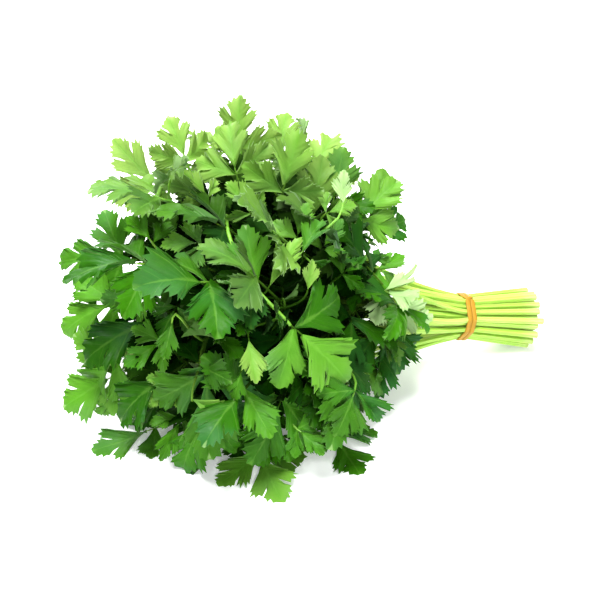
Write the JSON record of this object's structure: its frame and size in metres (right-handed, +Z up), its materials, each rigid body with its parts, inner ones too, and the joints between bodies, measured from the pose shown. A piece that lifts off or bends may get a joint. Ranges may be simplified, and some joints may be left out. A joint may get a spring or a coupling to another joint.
{
  "type": "parsley bunch",
  "caption": "Bunch of flat-leaf parsley lying on its side: cut stalks held by a rubber band and a spread crown of toothed, three-lobed leaflets.",
  "frame": {"origin": "centre of the bounding box's bottom, on the surface that the bunch lies on", "axes": "+X from the leaves towards the cut ends of the stalks, +Z up"},
  "size_m": [0.3382, 0.265, 0.1883],
  "materials": {
    "leaf": "fresh green leaf, satin, thin enough to let light through",
    "band": "tan natural rubber, matte"
  },
  "bodies": {
    "root": {"sprig_01": "leaf", "sprig_02": "leaf", "sprig_03": "leaf", "sprig_04": "leaf", "sprig_05": "leaf", "sprig_06": "leaf", "sprig_07": "leaf", "sprig_08": "leaf", "sprig_09": "leaf", "sprig_10": "leaf", "sprig_11": "leaf", "sprig_12": "leaf", "sprig_13": "leaf", "sprig_14": "leaf", "sprig_15": "leaf", "sprig_16": "leaf", "sprig_17": "leaf", "sprig_18": "leaf", "sprig_19": "leaf", "sprig_20": "leaf", "sprig_21": "leaf", "sprig_22": "leaf", "sprig_23": "leaf", "sprig_24": "leaf", "sprig_25": "leaf", "sprig_26": "leaf", "sprig_27": "leaf", "sprig_28": "leaf", "sprig_29": "leaf", "sprig_30": "leaf", "sprig_31": "leaf", "sprig_32": "leaf", "sprig_33": "leaf", "sprig_34": "leaf", "sprig_35": "leaf", "sprig_36": "leaf", "sprig_37": "leaf", "sprig_38": "leaf", "sprig_39": "leaf", "sprig_40": "leaf", "sprig_41": "leaf", "sprig_42": "leaf", "sprig_43": "leaf", "sprig_44": "leaf", "rubber_band": "band"}
  },
  "joints": []
}
